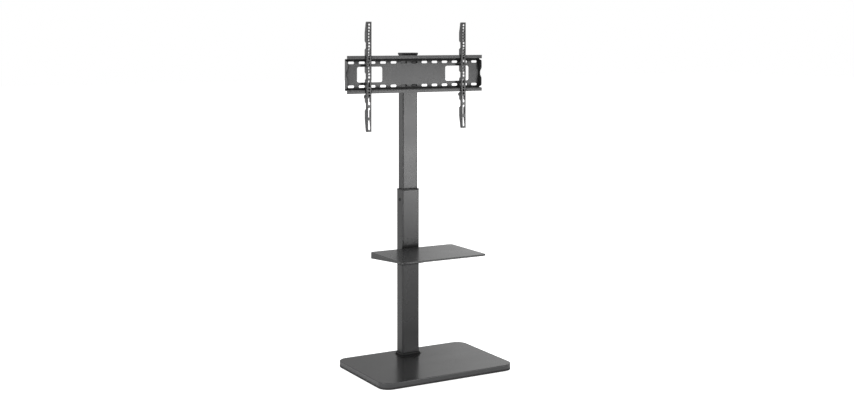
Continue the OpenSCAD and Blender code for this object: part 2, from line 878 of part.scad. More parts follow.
// One end flange in depth and height, notched in its front edge
module end_flange_flat() {
  reach = tray_depth - plate_bend_r;
  translate([-plate_t / 2, 0])
    polygon([
      [0, -end_flange_h / 2], [-reach, -end_flange_h / 2 + end_flange_bevel],
      [-tray_depth + plate_t, -end_flange_h / 2 + end_flange_bevel * 2],
      [-tray_depth + plate_t, -end_notch_mouth / 2],
      [end_notch_depth - tray_depth, -end_notch_floor / 2],
      [end_notch_depth - tray_depth, end_notch_floor / 2],
      [-tray_depth + plate_t, end_notch_mouth / 2],
      [-tray_depth + plate_t, end_flange_h / 2 - end_flange_bevel * 2],
      [-reach, end_flange_h / 2 - end_flange_bevel], [0, end_flange_h / 2]
    ]);
}

module mount_plate() {
  color(coat)
    translate([0, plate_back, plate_z])
      difference() {
        union() {
          side_profile(plate_w)
            plate_section();
          for (side = [-1, 1])
            translate([side * (plate_w - plate_t) / 2, 0, 0])
              side_profile(plate_t)
                end_flange_flat();
        }
        against_y()
          linear_extrude(height = 2 * (plate_t + cut_over), center = true) {
            for (i = [0 : slot_count - 1], row = [-1, 1])
              translate([(i - (slot_count - 1) / 2) * slot_pitch, row * slot_row_dz / 2])
                slot_flat(slot_len, slot_r);
            for (side = [-1, 1])
              translate([side * window_x, 0])
                rounded_flat(window_w, window_h, window_r);
          }
      }
}

module plate_studs() {
  color(steel)
    for (sx = [-1, 1], sz = [-1, 1])
      translate([sx * stud_dx / 2, plate_back, plate_z + sz * stud_dz / 2])
        along_y()
          rod(stud_r, stud_len);
}

module plate_nuts() {
  color(steel)
    for (sx = [-1, 1], sz = [-1, 1])
      translate([sx * stud_dx / 2, plate_back + saddle_t, plate_z + sz * stud_dz / 2])
        along_y()
          difference() {
            union() {
              rod(stud_nut_flange_r, stud_nut_h / 4);
              hex(stud_nut_flats, stud_nut_h);
            }
            bore(stud_r + turn_gap, stud_nut_h);
          }
}

// Holes and slots down an arm's face, drawn in width and height above the plate's middle
module arm_openings() {
  for (i = [0 : arm_hole_count - 1])
    translate([0, first_hole - i * arm_hole_pitch])
      circle(d = arm_hole_d, $fn = round_fn);
  translate([0, middle_hole])
    circle(d = arm_middle_hole_d, $fn = round_fn);
  for (z = low_holes)
    translate([0, z])
      circle(d = arm_hole_d, $fn = round_fn);
  for (spec = [
    [short_slot_mid, arm_short_slot], [slot_a_mid, arm_slot_a],
    [slot_b_mid, arm_slot_b], [slot_c_mid, arm_slot_b]
  ])
    translate([0, spec[0]])
      rotate(90)
        slot_flat(spec[1], arm_hole_d / 2);
}

// An arm at the plate's middle: a folded channel, open to the back, with hooked cheeks
module arm_body() {
  translate([0, arm_front, plate_z])
    difference() {
      intersection() {
        side_profile(arm_w)
          polygon(arm_profile);
        translate([0, 0, arm_bottom])
          linear_extrude(height = arm_len)
            difference() {
              translate([0, arm_depth])
                rounded_flat(arm_w, arm_depth * 2, arm_bend_r);
              translate([0, arm_depth])
                rounded_flat(arm_w - 2 * arm_t, (arm_depth - arm_t) * 2, arm_bend_r - arm_t);
            }
        translate([0, arm_depth, arm_rise - arm_len / 2])
          against_y()
            linear_extrude(height = arm_depth * 2)
              rounded_flat(arm_w, arm_len, arm_bend_r);
        }
      against_y()
        linear_extrude(height = 2 * (arm_t + cut_over), center = true)
          arm_openings();
      translate([-arm_w / 2, latch_pin_depth, latch_z])
        along_x()
          bore(latch_bore_r, arm_w);
    }
}

// A latch at the plate's middle: it swings back and down on its pin to let go of the lip
module latch_body() {
  translate([0, arm_front, plate_z])
    difference() {
      union() {
        for (spec = [
          [latch_pin_depth, latch_z, latch_hub_r], [latch_tab_x, latch_tab_z, latch_tab_r]
        ])
          side_profile(latch_w)
            translate([spec[0], spec[1]])
              circle(r = spec[2], $fn = round_fn);
        side_profile(latch_w)
          polygon(latch_nose);
        side_profile(latch_w)
          polygon(latch_link);
      }
      translate([-latch_w / 2, latch_pin_depth, latch_z])
        along_x()
          bore(latch_bore_r, latch_w);
    }
}

// The pin across an arm's cheeks, with a flat head on each end
module latch_pin() {
  translate([-arm_w / 2, arm_front + latch_pin_depth, plate_z + latch_z])
    along_x() {
      rod(latch_pin_r, arm_w);
      for (z = [-latch_pin_head_t, arm_w])
        translate([0, 0, z])
          rod(latch_pin_head_r, latch_pin_head_t);
    }
}

module left_arm() { color(coat_light) translate([-arm_x, 0, 0]) arm_body(); }
module right_arm() { color(coat_light) translate([arm_x, 0, 0]) arm_body(); }
module left_latch() { color(plastic) translate([-arm_x, 0, 0]) latch_body(); }
module right_latch() { color(plastic) translate([arm_x, 0, 0]) latch_body(); }
module left_latch_pin() { color(steel) translate([-arm_x, 0, 0]) latch_pin(); }
module right_latch_pin() { color(steel) translate([arm_x, 0, 0]) latch_pin(); }

// The tray: a sheet whose walls fold down and grow from the front lip to the back
module shelf_tray() {
  color(coat)
    translate([0, shelf_mid_y, shelf_z])
      difference() {
        intersection() {
          translate([0, 0, -shelf_back_h - shelf_edge_r])
            eased_slab(
              shelf_w, shelf_d, shelf_back_h + shelf_edge_r, shelf_corner_r, shelf_edge_r
            );
          side_profile(shelf_w)
            polygon([
              [-shelf_d / 2, 0], [-shelf_d / 2, -shelf_front_h],
              [shelf_corner_r - shelf_d / 2, -shelf_front_h],
              [shelf_d / 2 - shelf_corner_r, -shelf_back_h],
              [shelf_d / 2, -shelf_back_h], [shelf_d / 2, 0]
            ]);
        }
        translate([0, 0, -shelf_back_h - shelf_edge_r - shelf_t])
          eased_slab(
            shelf_w - 2 * shelf_t, shelf_d - 2 * shelf_t, shelf_back_h + shelf_edge_r,
            shelf_corner_r - shelf_t, shelf_edge_r - shelf_t
          );
        translate([-channel_w / 2 - slide_gap, 0, -shelf_back_h - shelf_t])
          cube([channel_w + 2 * slide_gap, shelf_d, shelf_back_h]);
      }
}

module tray_studs() {
  color(steel)
    translate([0, stud_mid_y, bracket_top - tray_stud_len])
      at_four(tray_stud_dx, tray_stud_dy)
        rod(tray_stud_r, tray_stud_len);
}

module tray_nuts() {
  color(steel)
    translate([0, stud_mid_y, bracket_top - bracket_t - tray_nut_h])
      at_four(tray_stud_dx, tray_stud_dy)
        difference() {
          hex(tray_nut_flats, tray_nut_h);
          bore(tray_stud_r + turn_gap, tray_nut_h);
        }
}

// The bracket: a channel under the tray, narrowing to the front, on a back plate with ears
module shelf_bracket() {
  color(coat)
    difference() {
      union() {
        intersection() {
          translate([0, shelf_back, bracket_top - channel_h / 2])
            against_y()
              linear_extrude(height = channel_len)
                difference() {
                  translate([0, -channel_h / 2])
                    rounded_flat(channel_w, channel_h * 2, bracket_t * 1.5);
                  translate([0, -channel_h / 2 - bracket_t])
                    rounded_flat(channel_w - 2 * bracket_t, channel_h * 2, bracket_t / 2);
                }
          translate([0, shelf_back, bracket_top])
            side_profile(channel_w)
              polygon([
                [0, 0], [0, -channel_h], [-channel_len / 2, -channel_h],
                [-channel_len, -channel_tip_h], [-channel_len, 0]
              ]);
        }
        translate([0, bracket_back - back_plate_t / 2, bracket_top - back_plate_h / 2])
          against_y()
            linear_extrude(height = back_plate_t, center = true)
              rounded_flat(2 * ear_x, back_plate_h, bracket_t * 2);
      }
      translate([0, stud_mid_y, bracket_top - bracket_t])
        at_four(tray_stud_dx, tray_stud_dy)
          bore(tray_stud_r + bolt_gap, bracket_t);
      for (sx = [-1, 1], sz = [-1, 1])
        translate([sx * ear_bolt_x, shelf_back, strap_mid_z + sz * clamp_dz / 2])
          along_y()
            bore(clamp_r + bolt_gap, back_plate_t);
    }
}

// The strap: a sheet folded round the post from behind, with an ear on each side
module shelf_strap() {
  color(coat)
    difference() {
      translate([0, 0, strap_mid_z - strap_h / 2])
        linear_extrude(height = strap_h) {
          difference() {
            translate([0, post_y])
              rounded_flat(lower_w + 2 * strap_t, lower_d + 2 * strap_t, lower_corner_r + strap_t);
            translate([0, post_y])
              rounded_flat(lower_w, lower_d, lower_corner_r);
            translate([-lower_w / 2 - strap_t - cut_over, bracket_back - strap_t - cut_over])
              square([lower_w + 2 * (strap_t + cut_over), strap_t + cut_over]);
            translate([-lower_w / 2, bracket_back])
              square([lower_w, lower_corner_r]);
          }
          for (side = [-1, 1])
            scale([side, 1]) {
              translate([lower_w / 2, bracket_back])
                square([strap_t, lower_corner_r + strap_t]);
              translate([lower_w / 2, bracket_back])
                square([strap_t + ear_w, strap_t]);
            }
        }
      for (sx = [-1, 1], sz = [-1, 1])
        translate([sx * ear_bolt_x, bracket_back, strap_mid_z + sz * clamp_dz / 2])
          along_y()
            bore(clamp_r + bolt_gap, strap_t);
    }
}

module clamp_bolts() {
  color(steel)
    for (sx = [-1, 1], sz = [-1, 1])
      translate([sx * ear_bolt_x, bracket_back + strap_t, strap_mid_z + sz * clamp_dz / 2])
        against_y() {
          rod(clamp_r, strap_t + back_plate_t + clamp_nut_h + clamp_tail);
          translate([0, 0, -clamp_head_h])
            hex(clamp_flats, clamp_head_h);
        }
}

module clamp_nuts() {
  color(steel)
    for (sx = [-1, 1], sz = [-1, 1])
      translate([sx * ear_bolt_x, shelf_back, strap_mid_z + sz * clamp_dz / 2])
        against_y()
          difference() {
            hex(clamp_flats, clamp_nut_h);
            bore(clamp_r + turn_gap, clamp_nut_h);
          }
}

base_board();
base_pads();
foot_bolts();
foot_washers();
foot_plate();
foot_collar();
lower_tube();
guide_bushing();
lock_insert();
lock_screw();
upper_tube();
glide_shoe();
top_cap();
saddle_bracket();
cross_bolts();
cross_washers();
cross_nuts();
mount_plate();
plate_studs();
plate_nuts();
left_arm();
right_arm();
left_latch();
right_latch();
left_latch_pin();
right_latch_pin();
shelf_tray();
tray_studs();
tray_nuts();
shelf_bracket();
shelf_strap();
clamp_bolts();
clamp_nuts();
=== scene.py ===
# %% [markdown]
# # A floor stand for a television
#
# The stand is a round-cornered base board, a telescopic post with a small shelf, and a
# slotted mount plate that carries two hook-on arms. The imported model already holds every
# part that has a real size. This script dresses it: finishes for each part, the small
# things that are too fine for the solids, and a camera and a studio.

import json
import math

import bmesh
import bpy
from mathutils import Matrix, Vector


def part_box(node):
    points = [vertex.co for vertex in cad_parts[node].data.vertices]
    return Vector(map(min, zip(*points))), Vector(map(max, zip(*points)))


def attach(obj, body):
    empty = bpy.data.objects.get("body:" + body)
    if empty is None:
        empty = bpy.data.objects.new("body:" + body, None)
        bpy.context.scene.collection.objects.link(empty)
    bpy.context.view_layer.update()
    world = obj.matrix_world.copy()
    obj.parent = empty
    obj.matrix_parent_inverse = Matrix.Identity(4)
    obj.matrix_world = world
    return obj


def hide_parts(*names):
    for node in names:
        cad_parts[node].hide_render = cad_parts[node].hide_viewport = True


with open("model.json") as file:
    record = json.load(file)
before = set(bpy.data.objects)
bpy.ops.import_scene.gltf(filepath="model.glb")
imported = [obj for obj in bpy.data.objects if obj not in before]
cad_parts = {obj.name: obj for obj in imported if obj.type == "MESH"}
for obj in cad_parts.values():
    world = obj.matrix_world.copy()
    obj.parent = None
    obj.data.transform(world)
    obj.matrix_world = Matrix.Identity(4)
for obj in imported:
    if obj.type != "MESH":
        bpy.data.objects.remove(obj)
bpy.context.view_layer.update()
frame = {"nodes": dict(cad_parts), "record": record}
nodes = frame["nodes"]
MM = 0.001
print("parts in the frame:", len(nodes))

# %% [markdown]
# ## The camera
#
# Product photographs of tall things are often taken with a level camera and a shifted
# lens, so that upright edges stay upright. This one is: the post's edges are parallel in
# the picture. A tilted camera would make them meet. So the camera is turned only about the
# vertical, and the view is moved down with the lens shift instead.

# %% Place the camera
LENS_MM = 50.36
SENSOR_MM = 36
CAMERA_PLACE = (-2.4083, -4.2340, 1.3456)
CAMERA_TURN_DEG = 29.74
LEVEL_DEG = 90
LENS_SHIFT_Y = -0.1954

camera_data = bpy.data.cameras.new("studio_camera")
camera_data.lens = LENS_MM
camera_data.sensor_width = SENSOR_MM
camera_data.shift_y = LENS_SHIFT_Y
camera = bpy.data.objects.new("studio_camera", camera_data)
camera.location = CAMERA_PLACE
camera.rotation_euler = (math.radians(LEVEL_DEG), 0, -math.radians(CAMERA_TURN_DEG))
bpy.context.scene.collection.objects.link(camera)
bpy.context.scene.camera = camera
print("camera height in metres:", CAMERA_PLACE[2], "lens in millimetres:", LENS_MM)

# %% [markdown]
# ## Helpers for node trees
#
# Every finish below is a small node tree, and so are the tools that repeat a form. Written
# out in full, such trees are long. A few helpers keep them short: feed() sets a socket to a
# plain value or links it to another socket, add_node() makes a node with all its inputs in
# one call, and maths() and noise_value() give back an output socket to build on.


# %% Node helpers
def feed(tree, socket, value):
    """Links the socket to another socket, or sets it to a plain value."""
    if isinstance(value, bpy.types.NodeSocket):
        tree.links.new(value, socket)
    else:
        socket.default_value = value


def add_node(tree, kind, settings=None, **inputs):
    """Adds a node; settings are its own properties, inputs are fed by socket name."""
    made = tree.nodes.new(kind)
    for key, value in (settings or {}).items():
        setattr(made, key, value)
    for key, value in inputs.items():
        feed(tree, made.inputs[key.replace("_", " ")], value)
    return made


def maths(tree, operation, first, second=None):
    """The result of a Math node, as a socket."""
    made = add_node(tree, "ShaderNodeMath", {"operation": operation})
    feed(tree, made.inputs[0], first)
    if second is not None:
        feed(tree, made.inputs[1], second)
    return made.outputs[0]


def noise_value(tree, place, scale, detail, roughness=0.5):
    """A noise between 0 and 1, as a socket."""
    made = add_node(tree, "ShaderNodeTexNoise", Vector=place, Scale=scale, Detail=detail,
                    Roughness=roughness)
    return made.outputs["Fac"]


def facing_up(tree):
    """How much the surface faces up: 1 on top, 0 on a wall, -1 below."""
    geometry = add_node(tree, "ShaderNodeNewGeometry")
    split = add_node(tree, "ShaderNodeSeparateXYZ", Vector=geometry.outputs["Normal"])
    return split.outputs["Z"]


def new_group(name, inputs, outputs):
    """An empty shader node group with named sockets, and its two end nodes."""
    group = bpy.data.node_groups.new(name, "ShaderNodeTree")
    for socket, kind, value in inputs:
        made = group.interface.new_socket(socket, in_out="INPUT", socket_type=kind)
        if value is not None:
            made.default_value = value
    for socket, kind in outputs:
        group.interface.new_socket(socket, in_out="OUTPUT", socket_type=kind)
    return group, group.nodes.new("NodeGroupInput"), group.nodes.new("NodeGroupOutput")


print("node helpers:", [f.__name__ for f in (feed, add_node, maths, noise_value, facing_up)])

# %% [markdown]
# ## Shared effect: edge wear
#
# Coated sheet metal rubs bright first where it is sharp: on folded edges, at hole rims and
# on corners. It could be painted by hand, or the edges could be rounded with a modifier, but
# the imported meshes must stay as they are. The Bevel shader node needs neither: it looks at
# the surface close by and bends its normal near an edge. Where that bent normal leaves the
# true one, there is an edge, and a noise breaks the mask up, because real wear is patchy. The
# bent normal itself is passed on too: shading with it gives folded sheet its small round
# edges, which catch the light as thin lines.

# %% Build the edge wear group
BEVEL_SAMPLES = 8
EDGE_GAIN = 5.0


def make_edge_wear():
    group, start, end = new_group(
        "edge wear",
        [("Vector", "NodeSocketVector", None), ("Width", "NodeSocketFloat", 1 * MM),
         ("Patch Scale", "NodeSocketFloat", 60.0)],
        [("Mask", "NodeSocketFloat"), ("Normal", "NodeSocketVector")],
    )
    bevel = add_node(group, "ShaderNodeBevel", {"samples": BEVEL_SAMPLES},
                     Radius=start.outputs["Width"])
    geometry = add_node(group, "ShaderNodeNewGeometry")
    dot = add_node(group, "ShaderNodeVectorMath", {"operation": "DOT_PRODUCT"})
    feed(group, dot.inputs[0], bevel.outputs["Normal"])
    feed(group, dot.inputs[1], geometry.outputs["Normal"])
    bend = maths(group, "SUBTRACT", 1.0, dot.outputs["Value"])
    sharp = maths(group, "MULTIPLY", bend, EDGE_GAIN)
    patches = noise_value(group, start.outputs["Vector"], start.outputs["Patch Scale"],
                          detail=3.0, roughness=0.6)
    patchy = maths(group, "MULTIPLY", sharp, patches)
    feed(group, end.inputs["Mask"], maths(group, "MINIMUM", patchy, 1.0))
    feed(group, end.inputs["Normal"], bevel.outputs["Normal"])
    return group


EDGE_WEAR = make_edge_wear()
print("edge wear has", len(EDGE_WEAR.nodes), "nodes")

# %% [markdown]
# ## Shared effect: powder grain
#
# Powder coat is sprayed as dust and melted in an oven. It flows into a skin that is
# slightly dimpled like orange peel, with a finer grain on top, and its colour drifts a
# little from place to place. A picture of a real coat would show a seam or a repeat on parts
# of such different sizes. Three noises of different scale give the same three things
# everywhere, at the same real size.

# %% Build the powder grain group
PEEL_SHARE = 0.7


def make_powder_grain():
    group, start, end = new_group(
        "powder grain",
        [("Vector", "NodeSocketVector", None), ("Peel Scale", "NodeSocketFloat", 420.0),
         ("Grain Scale", "NodeSocketFloat", 1500.0), ("Drift Scale", "NodeSocketFloat", 7.0)],
        [("Drift", "NodeSocketFloat"), ("Speck", "NodeSocketFloat"), ("Height", "NodeSocketFloat")],
    )
    place = start.outputs["Vector"]
    scales = start.outputs
    peel = noise_value(group, place, scales["Peel Scale"], detail=1.0, roughness=0.4)
    grain = noise_value(group, place, scales["Grain Scale"], detail=2.0, roughness=0.6)
    drift = noise_value(group, place, scales["Drift Scale"], detail=4.0, roughness=0.55)
    high = maths(group, "MULTIPLY", peel, PEEL_SHARE)
    fine = maths(group, "MULTIPLY", grain, 1 - PEEL_SHARE)
    feed(group, end.inputs["Height"], maths(group, "ADD", high, fine))
    feed(group, end.inputs["Drift"], drift)
    feed(group, end.inputs["Speck"], grain)
    return group


POWDER_GRAIN = make_powder_grain()
print("powder grain has", len(POWDER_GRAIN.nodes), "nodes")

# %% [markdown]
# ## Shared effect: settled dust
#
# On flat tops a thin veil of dust dulls the finish. Loose grains would be thousands of
# objects that nobody sees one by one, so a mask stands for them. It is high where the surface
# faces up, and a noise keeps it uneven. It is used very weakly.


# %% Build the dust group
def make_dust():
    group, start, end = new_group(
        "settled dust",
        [("Vector", "NodeSocketVector", None), ("Scale", "NodeSocketFloat", 12.0)],
        [("Mask", "NodeSocketFloat")],
    )
    upward = maths(group, "MAXIMUM", facing_up(group), 0.0)
    uneven = noise_value(group, start.outputs["Vector"], start.outputs["Scale"],
                         detail=6.0, roughness=0.65)
    feed(group, end.inputs["Mask"], maths(group, "MULTIPLY", upward, uneven))
    return group


DUST = make_dust()
print("dust has", len(DUST.nodes), "nodes")

# %% [markdown]
# ## Shared effect: painted shade in recesses
#
# In folds, behind lips and where two parts meet, little light comes in. A studio that is
# bright all round washes these places out, and turning the lamps down would darken
# everything. So shade is painted into the material: the Ambient Occlusion node measures how
# closed in a point is, and the group turns that into a mask that is 1 in a tight corner and 0
# in the open, with a noise to loosen it. There the colour is painted dark as painted shade,
# and the finish goes dull.

# %% Build the painted recess shade group
OCCLUSION_SAMPLES = 12
RECESS_OPEN, RECESS_TIGHT = 0.10, 0.38
RECESS_LOOSENESS = 0.3
RECESS_NOISE_SCALE = 45.0


def make_painted_recess_shade():
    group, start, end = new_group(
        "painted shade in hollows",
        [("Vector", "NodeSocketVector", None), ("Reach", "NodeSocketFloat", 20 * MM)],
        [("Mask", "NodeSocketFloat")],
    )
    # Painted shade: how closed in a point is becomes a mask that darkens its colour.
    sky = add_node(group, "ShaderNodeAmbientOcclusion", {"samples": OCCLUSION_SAMPLES},
                   Distance=start.outputs["Reach"])
    closed = maths(group, "SUBTRACT", 1.0, sky.outputs["AO"])
    uneven = noise_value(group, start.outputs["Vector"], RECESS_NOISE_SCALE,
                         detail=3.0, roughness=0.6)
    uneven = maths(group, "MULTIPLY", uneven, RECESS_LOOSENESS)
    loose = maths(group, "ADD", uneven, 1 - RECESS_LOOSENESS / 2)
    tight = add_node(group, "ShaderNodeMapRange", {"interpolation_type": "SMOOTHSTEP"},
                     Value=maths(group, "MULTIPLY", closed, loose),
                     From_Min=RECESS_OPEN, From_Max=RECESS_TIGHT)
    feed(group, end.inputs["Mask"], tight.outputs["Result"])
    return group


PAINTED_RECESS_SHADE = make_painted_recess_shade()
print("painted shade in hollows has", len(PAINTED_RECESS_SHADE.nodes), "nodes")

# %% [markdown]
# ## A coated finish, as one recipe
#
# The powder coat on the steel, the foil on the board and the moulded plastics differ in
# their numbers, not in their make-up: a base colour that drifts between two tones, specks,
# rubbed edges, dust on top, painted shade in recesses, a varying roughness and a fine bump.
# Each could have a tree of its own, but seven trees drift apart as they are worked on. So one
# function builds them all, and each finish below is one call with its own values.

# %% Small tools for finishes
COOL_TINT = 1.03
DUSTY_TINT = 0.96


def grey(level, tint=COOL_TINT):
    """A nearly neutral grey, as a colour socket's value; tint scales its blue."""
    return (level, level, level * tint, 1.0)


def mixed(tree, first, second, factor):
    """The colour between two others, as a socket."""
    made = add_node(tree, "ShaderNodeMix", {"data_type": "RGBA"}, A=first, B=second,
                    Factor=factor)
    return made.outputs["Result"]


def new_material(name):
    material = bpy.data.materials.new(name)
    material.use_nodes = True
    tree = material.node_tree
    return material, tree, tree.nodes["Principled BSDF"]


print("a middle tone of the coat:", grey(0.02))

# %% The recipe for coated and moulded finishes
SPECK_WEIGHT, DRIFT_WEIGHT = 0.45, 0.75
DUST_TONE, DUST_COVER, DUST_DULLING = 0.30, 0.02, 0.05
# The painted shade in recesses: how far it looks, its tone as a share of the dark tone, and its
# roughness.
RECESS_REACH = 25 * MM
PAINTED_SHADE_TONE_SHARE, RECESS_ROUGHNESS = 0.12, 0.95
ROUGHNESS_SWING = 0.12
GRAIN_STRENGTH = 0.35


def coated_finish(name, dark, light, worn, roughness, bump_mm, scales, wear, wear_mm,
                  stretch=(1, 1, 1), side=0.0):
    """dark and light are the two tones and worn the tone of rubbed edges; scales are the
    grain's; side is how much paler an upright side is, as on a board's edge band."""
    material, tree, shader = new_material(name)
    place = add_node(tree, "ShaderNodeTexCoord").outputs["Object"]
    mapping = add_node(tree, "ShaderNodeMapping", Vector=place, Scale=stretch)
    grain = add_node(tree, "ShaderNodeGroup", {"node_tree": POWDER_GRAIN},
                     Vector=mapping.outputs["Vector"], Peel_Scale=scales[0],
                     Grain_Scale=scales[1], Drift_Scale=scales[2]).outputs
    edges = add_node(tree, "ShaderNodeGroup", {"node_tree": EDGE_WEAR}, Vector=place,
                     Width=wear_mm * MM).outputs
    dust = add_node(tree, "ShaderNodeGroup", {"node_tree": DUST}, Vector=place).outputs["Mask"]
    # A mask for painted shade in folds, behind lips and where parts meet.
    painted_shade_mask = add_node(tree, "ShaderNodeGroup", {"node_tree": PAINTED_RECESS_SHADE}, Vector=place,
                      Reach=RECESS_REACH).outputs["Mask"]

    speck = maths(tree, "MULTIPLY", grain["Speck"], SPECK_WEIGHT)
    drift = maths(tree, "MULTIPLY", grain["Drift"], DRIFT_WEIGHT)
    tone = mixed(tree, grey(dark), grey(light), maths(tree, "ADD", speck, drift))
    if side:
        upright = maths(tree, "SUBTRACT", 1.0, maths(tree, "ABSOLUTE", facing_up(tree)))
        tone = mixed(tree, tone, grey(light + side), upright)
    tone = mixed(tree, tone, grey(worn), maths(tree, "MULTIPLY", edges["Mask"], wear))
    veil = maths(tree, "MULTIPLY", dust, DUST_COVER)
    tone = mixed(tree, tone, grey(DUST_TONE, DUSTY_TINT), veil)
    # Painted shade: the colour goes nearly black where the surface is closed in.
    tone = mixed(tree, tone, grey(dark * PAINTED_SHADE_TONE_SHARE), painted_shade_mask)
    feed(tree, shader.inputs["Base Color"], tone)

    centred = maths(tree, "SUBTRACT", grain["Drift"], 0.5)
    swing = maths(tree, "MULTIPLY", centred, ROUGHNESS_SWING)
    dulled = maths(tree, "MULTIPLY", dust, DUST_DULLING)
    rough = maths(tree, "ADD", maths(tree, "ADD", swing, dulled), roughness)
    # In the painted shade the roughness rises too, which dims reflections there.
    painted_shade_roughness = maths(tree, "MULTIPLY", painted_shade_mask, RECESS_ROUGHNESS - roughness)
    feed(tree, shader.inputs["Roughness"], maths(tree, "ADD", rough, painted_shade_roughness))
    bump = add_node(tree, "ShaderNodeBump", Strength=GRAIN_STRENGTH, Distance=bump_mm * MM,
                    Height=grain["Height"], Normal=edges["Normal"])
    feed(tree, shader.inputs["Normal"], bump.outputs["Normal"])
    return material


print("recess reach in millimetres:", RECESS_REACH / MM)

# %% [markdown]
# ## The coated and moulded finishes of this stand
#
# - The plate and the arms: satin charcoal powder coat on sheet with tight folds.
# - The tubes and the shelf: the same coat on rounder edges. The bent normal draws those as
#   a dark line beside a bright one, which is how a rounded edge mirrors a studio.
# - The base board: fibreboard under a charcoal foil, smoother and glossier than the coat.
# - The cap, bushing, collar, shoe and latches: black moulded plastic with a fine texture.
# - The pads under the board: soft black rubber.
# - The visible bolts: black oxide, a thin dark skin on steel.
#
# One coat for all of them would be simpler, but it would show the same edge on a thin
# sheet, a rounded tube and a thick board. So each has its own roundness and its own gloss.

# %% Make the coated and moulded finishes
COAT = coated_finish(
    "charcoal_powder_coat", dark=0.015, light=0.026, worn=0.12, roughness=0.29,
    bump_mm=0.05, scales=(420.0, 1500.0, 7.0), wear=0.5, wear_mm=0.9)
TUBE_COAT = coated_finish(
    "charcoal_coat_on_tubes", dark=0.014, light=0.024, worn=0.10, roughness=0.28,
    bump_mm=0.04, scales=(420.0, 1500.0, 6.0), wear=0.35, wear_mm=4.5)
SHELF_COAT = coated_finish(
    "charcoal_coat_on_shelf", dark=0.013, light=0.022, worn=0.12, roughness=0.23,
    bump_mm=0.04, scales=(420.0, 1500.0, 9.0), wear=0.35, wear_mm=3.0)
BOARD = coated_finish(
    "charcoal_board_foil", dark=0.008, light=0.013, worn=0.08, roughness=0.22,
    bump_mm=0.015, scales=(300.0, 1200.0, 4.0), wear=0.35, wear_mm=1.2,
    stretch=(1, 3, 3), side=0.028)
PLASTIC = coated_finish(
    "black_moulded_plastic", dark=0.010, light=0.018, worn=0.07, roughness=0.45,
    bump_mm=0.06, scales=(700.0, 2200.0, 20.0), wear=0.30, wear_mm=0.6)
RUBBER = coated_finish(
    "black_rubber", dark=0.014, light=0.024, worn=0.06, roughness=0.72,
    bump_mm=0.08, scales=(500.0, 1800.0, 25.0), wear=0.3, wear_mm=0.8)
OXIDE = coated_finish(
    "black_oxide_steel", dark=0.014, light=0.028, worn=0.22, roughness=0.34,
    bump_mm=0.02, scales=(600.0, 2500.0, 60.0), wear=0.6, wear_mm=0.35)
print("finishes on sheet, tube, shelf and board:",
      [finish.name for finish in (COAT, TUBE_COAT, SHELF_COAT, BOARD)])
print("finishes on small parts:", [finish.name for finish in (PLASTIC, RUBBER, OXIDE)])

# %% [markdown]
# ## Zinc-plated steel
#
# The hidden screws, studs and nuts are plated. Zinc is a metal, so it has no painted
# colour of its own: it reflects. A light grey paint would look flat beside it. Its look comes
# from soft cloudy patches in brightness and in roughness, and from fine turning marks, which
# a noise gives when it is squeezed along the axis.

# %% Make the zinc finish
ZINC_DARK, ZINC_LIGHT = (0.42, 0.43, 0.45, 1), (0.68, 0.68, 0.67, 1)
ZINC_CLOUD_SCALE, ZINC_MARK_SCALE, ZINC_MARK_SQUEEZE = 160.0, 260.0, 14
ZINC_ROUGHNESS, ZINC_ROUGHNESS_SWING = 0.24, 0.22
ZINC_MARK_STRENGTH, ZINC_MARK_DEPTH = 0.3, 0.03 * MM


def zinc_finish():
    material, tree, shader = new_material("zinc_plated_steel")
    shader.inputs["Metallic"].default_value = 1.0
    place = add_node(tree, "ShaderNodeTexCoord").outputs["Object"]
    clouds = noise_value(tree, place, ZINC_CLOUD_SCALE, detail=4.0, roughness=0.6)
    mapping = add_node(tree, "ShaderNodeMapping", Vector=place, Scale=(1, 1, ZINC_MARK_SQUEEZE))
    marks = noise_value(tree, mapping.outputs["Vector"], ZINC_MARK_SCALE, detail=2.0)
    feed(tree, shader.inputs["Base Color"], mixed(tree, ZINC_DARK, ZINC_LIGHT, clouds))
    patchy = maths(tree, "MULTIPLY", clouds, ZINC_ROUGHNESS_SWING)
    feed(tree, shader.inputs["Roughness"], maths(tree, "ADD", patchy, ZINC_ROUGHNESS))
    bump = add_node(tree, "ShaderNodeBump", Strength=ZINC_MARK_STRENGTH,
                    Distance=ZINC_MARK_DEPTH, Height=marks)
    feed(tree, shader.inputs["Normal"], bump.outputs["Normal"])
    return material


ZINC = zinc_finish()
print("made", ZINC.name)

# %% [markdown]
# ## Give every part its finish
#
# A part keeps its mesh exactly as it was packed. Only the material in its slot changes. Most
# parts take the finish that belongs to the slot in their record, and the few that look
# different from others of the same slot are named one by one.

# %% Assign the finishes
FINISH_OF_SLOT = {
    "board": BOARD, "coated_steel": COAT, "black_plastic": PLASTIC,
    "black_steel": OXIDE, "zinc_steel": ZINC, "rubber": RUBBER,
}
FINISH_OF_NODE = {
    "upper_tube": TUBE_COAT, "lower_tube": TUBE_COAT, "shelf_tray": SHELF_COAT,
    "left_latch_pin": OXIDE, "right_latch_pin": OXIDE,
}
SLOT_OF_NODE = {part["node"]: part["material_slot"] for part in frame["record"]["subparts"]}

for name, part in nodes.items():
    part.data.materials.clear()
    part.data.materials.append(FINISH_OF_NODE.get(name, FINISH_OF_SLOT[SLOT_OF_NODE[name]]))
print("finished", len(nodes), "parts")

# %% [markdown]
# ## Copies of a form, made by Geometry Nodes
#
# Bolts, nuts, pads, weld beads and grip ribs all repeat. They could be copied object by
# object, or with an Array modifier where they stand in a row. The tree below serves all of
# them: it takes loose points and one form, puts a copy of the form on every point with its
# Z axis along the point's direction, turns the copies into real mesh and gives them their
# finish.


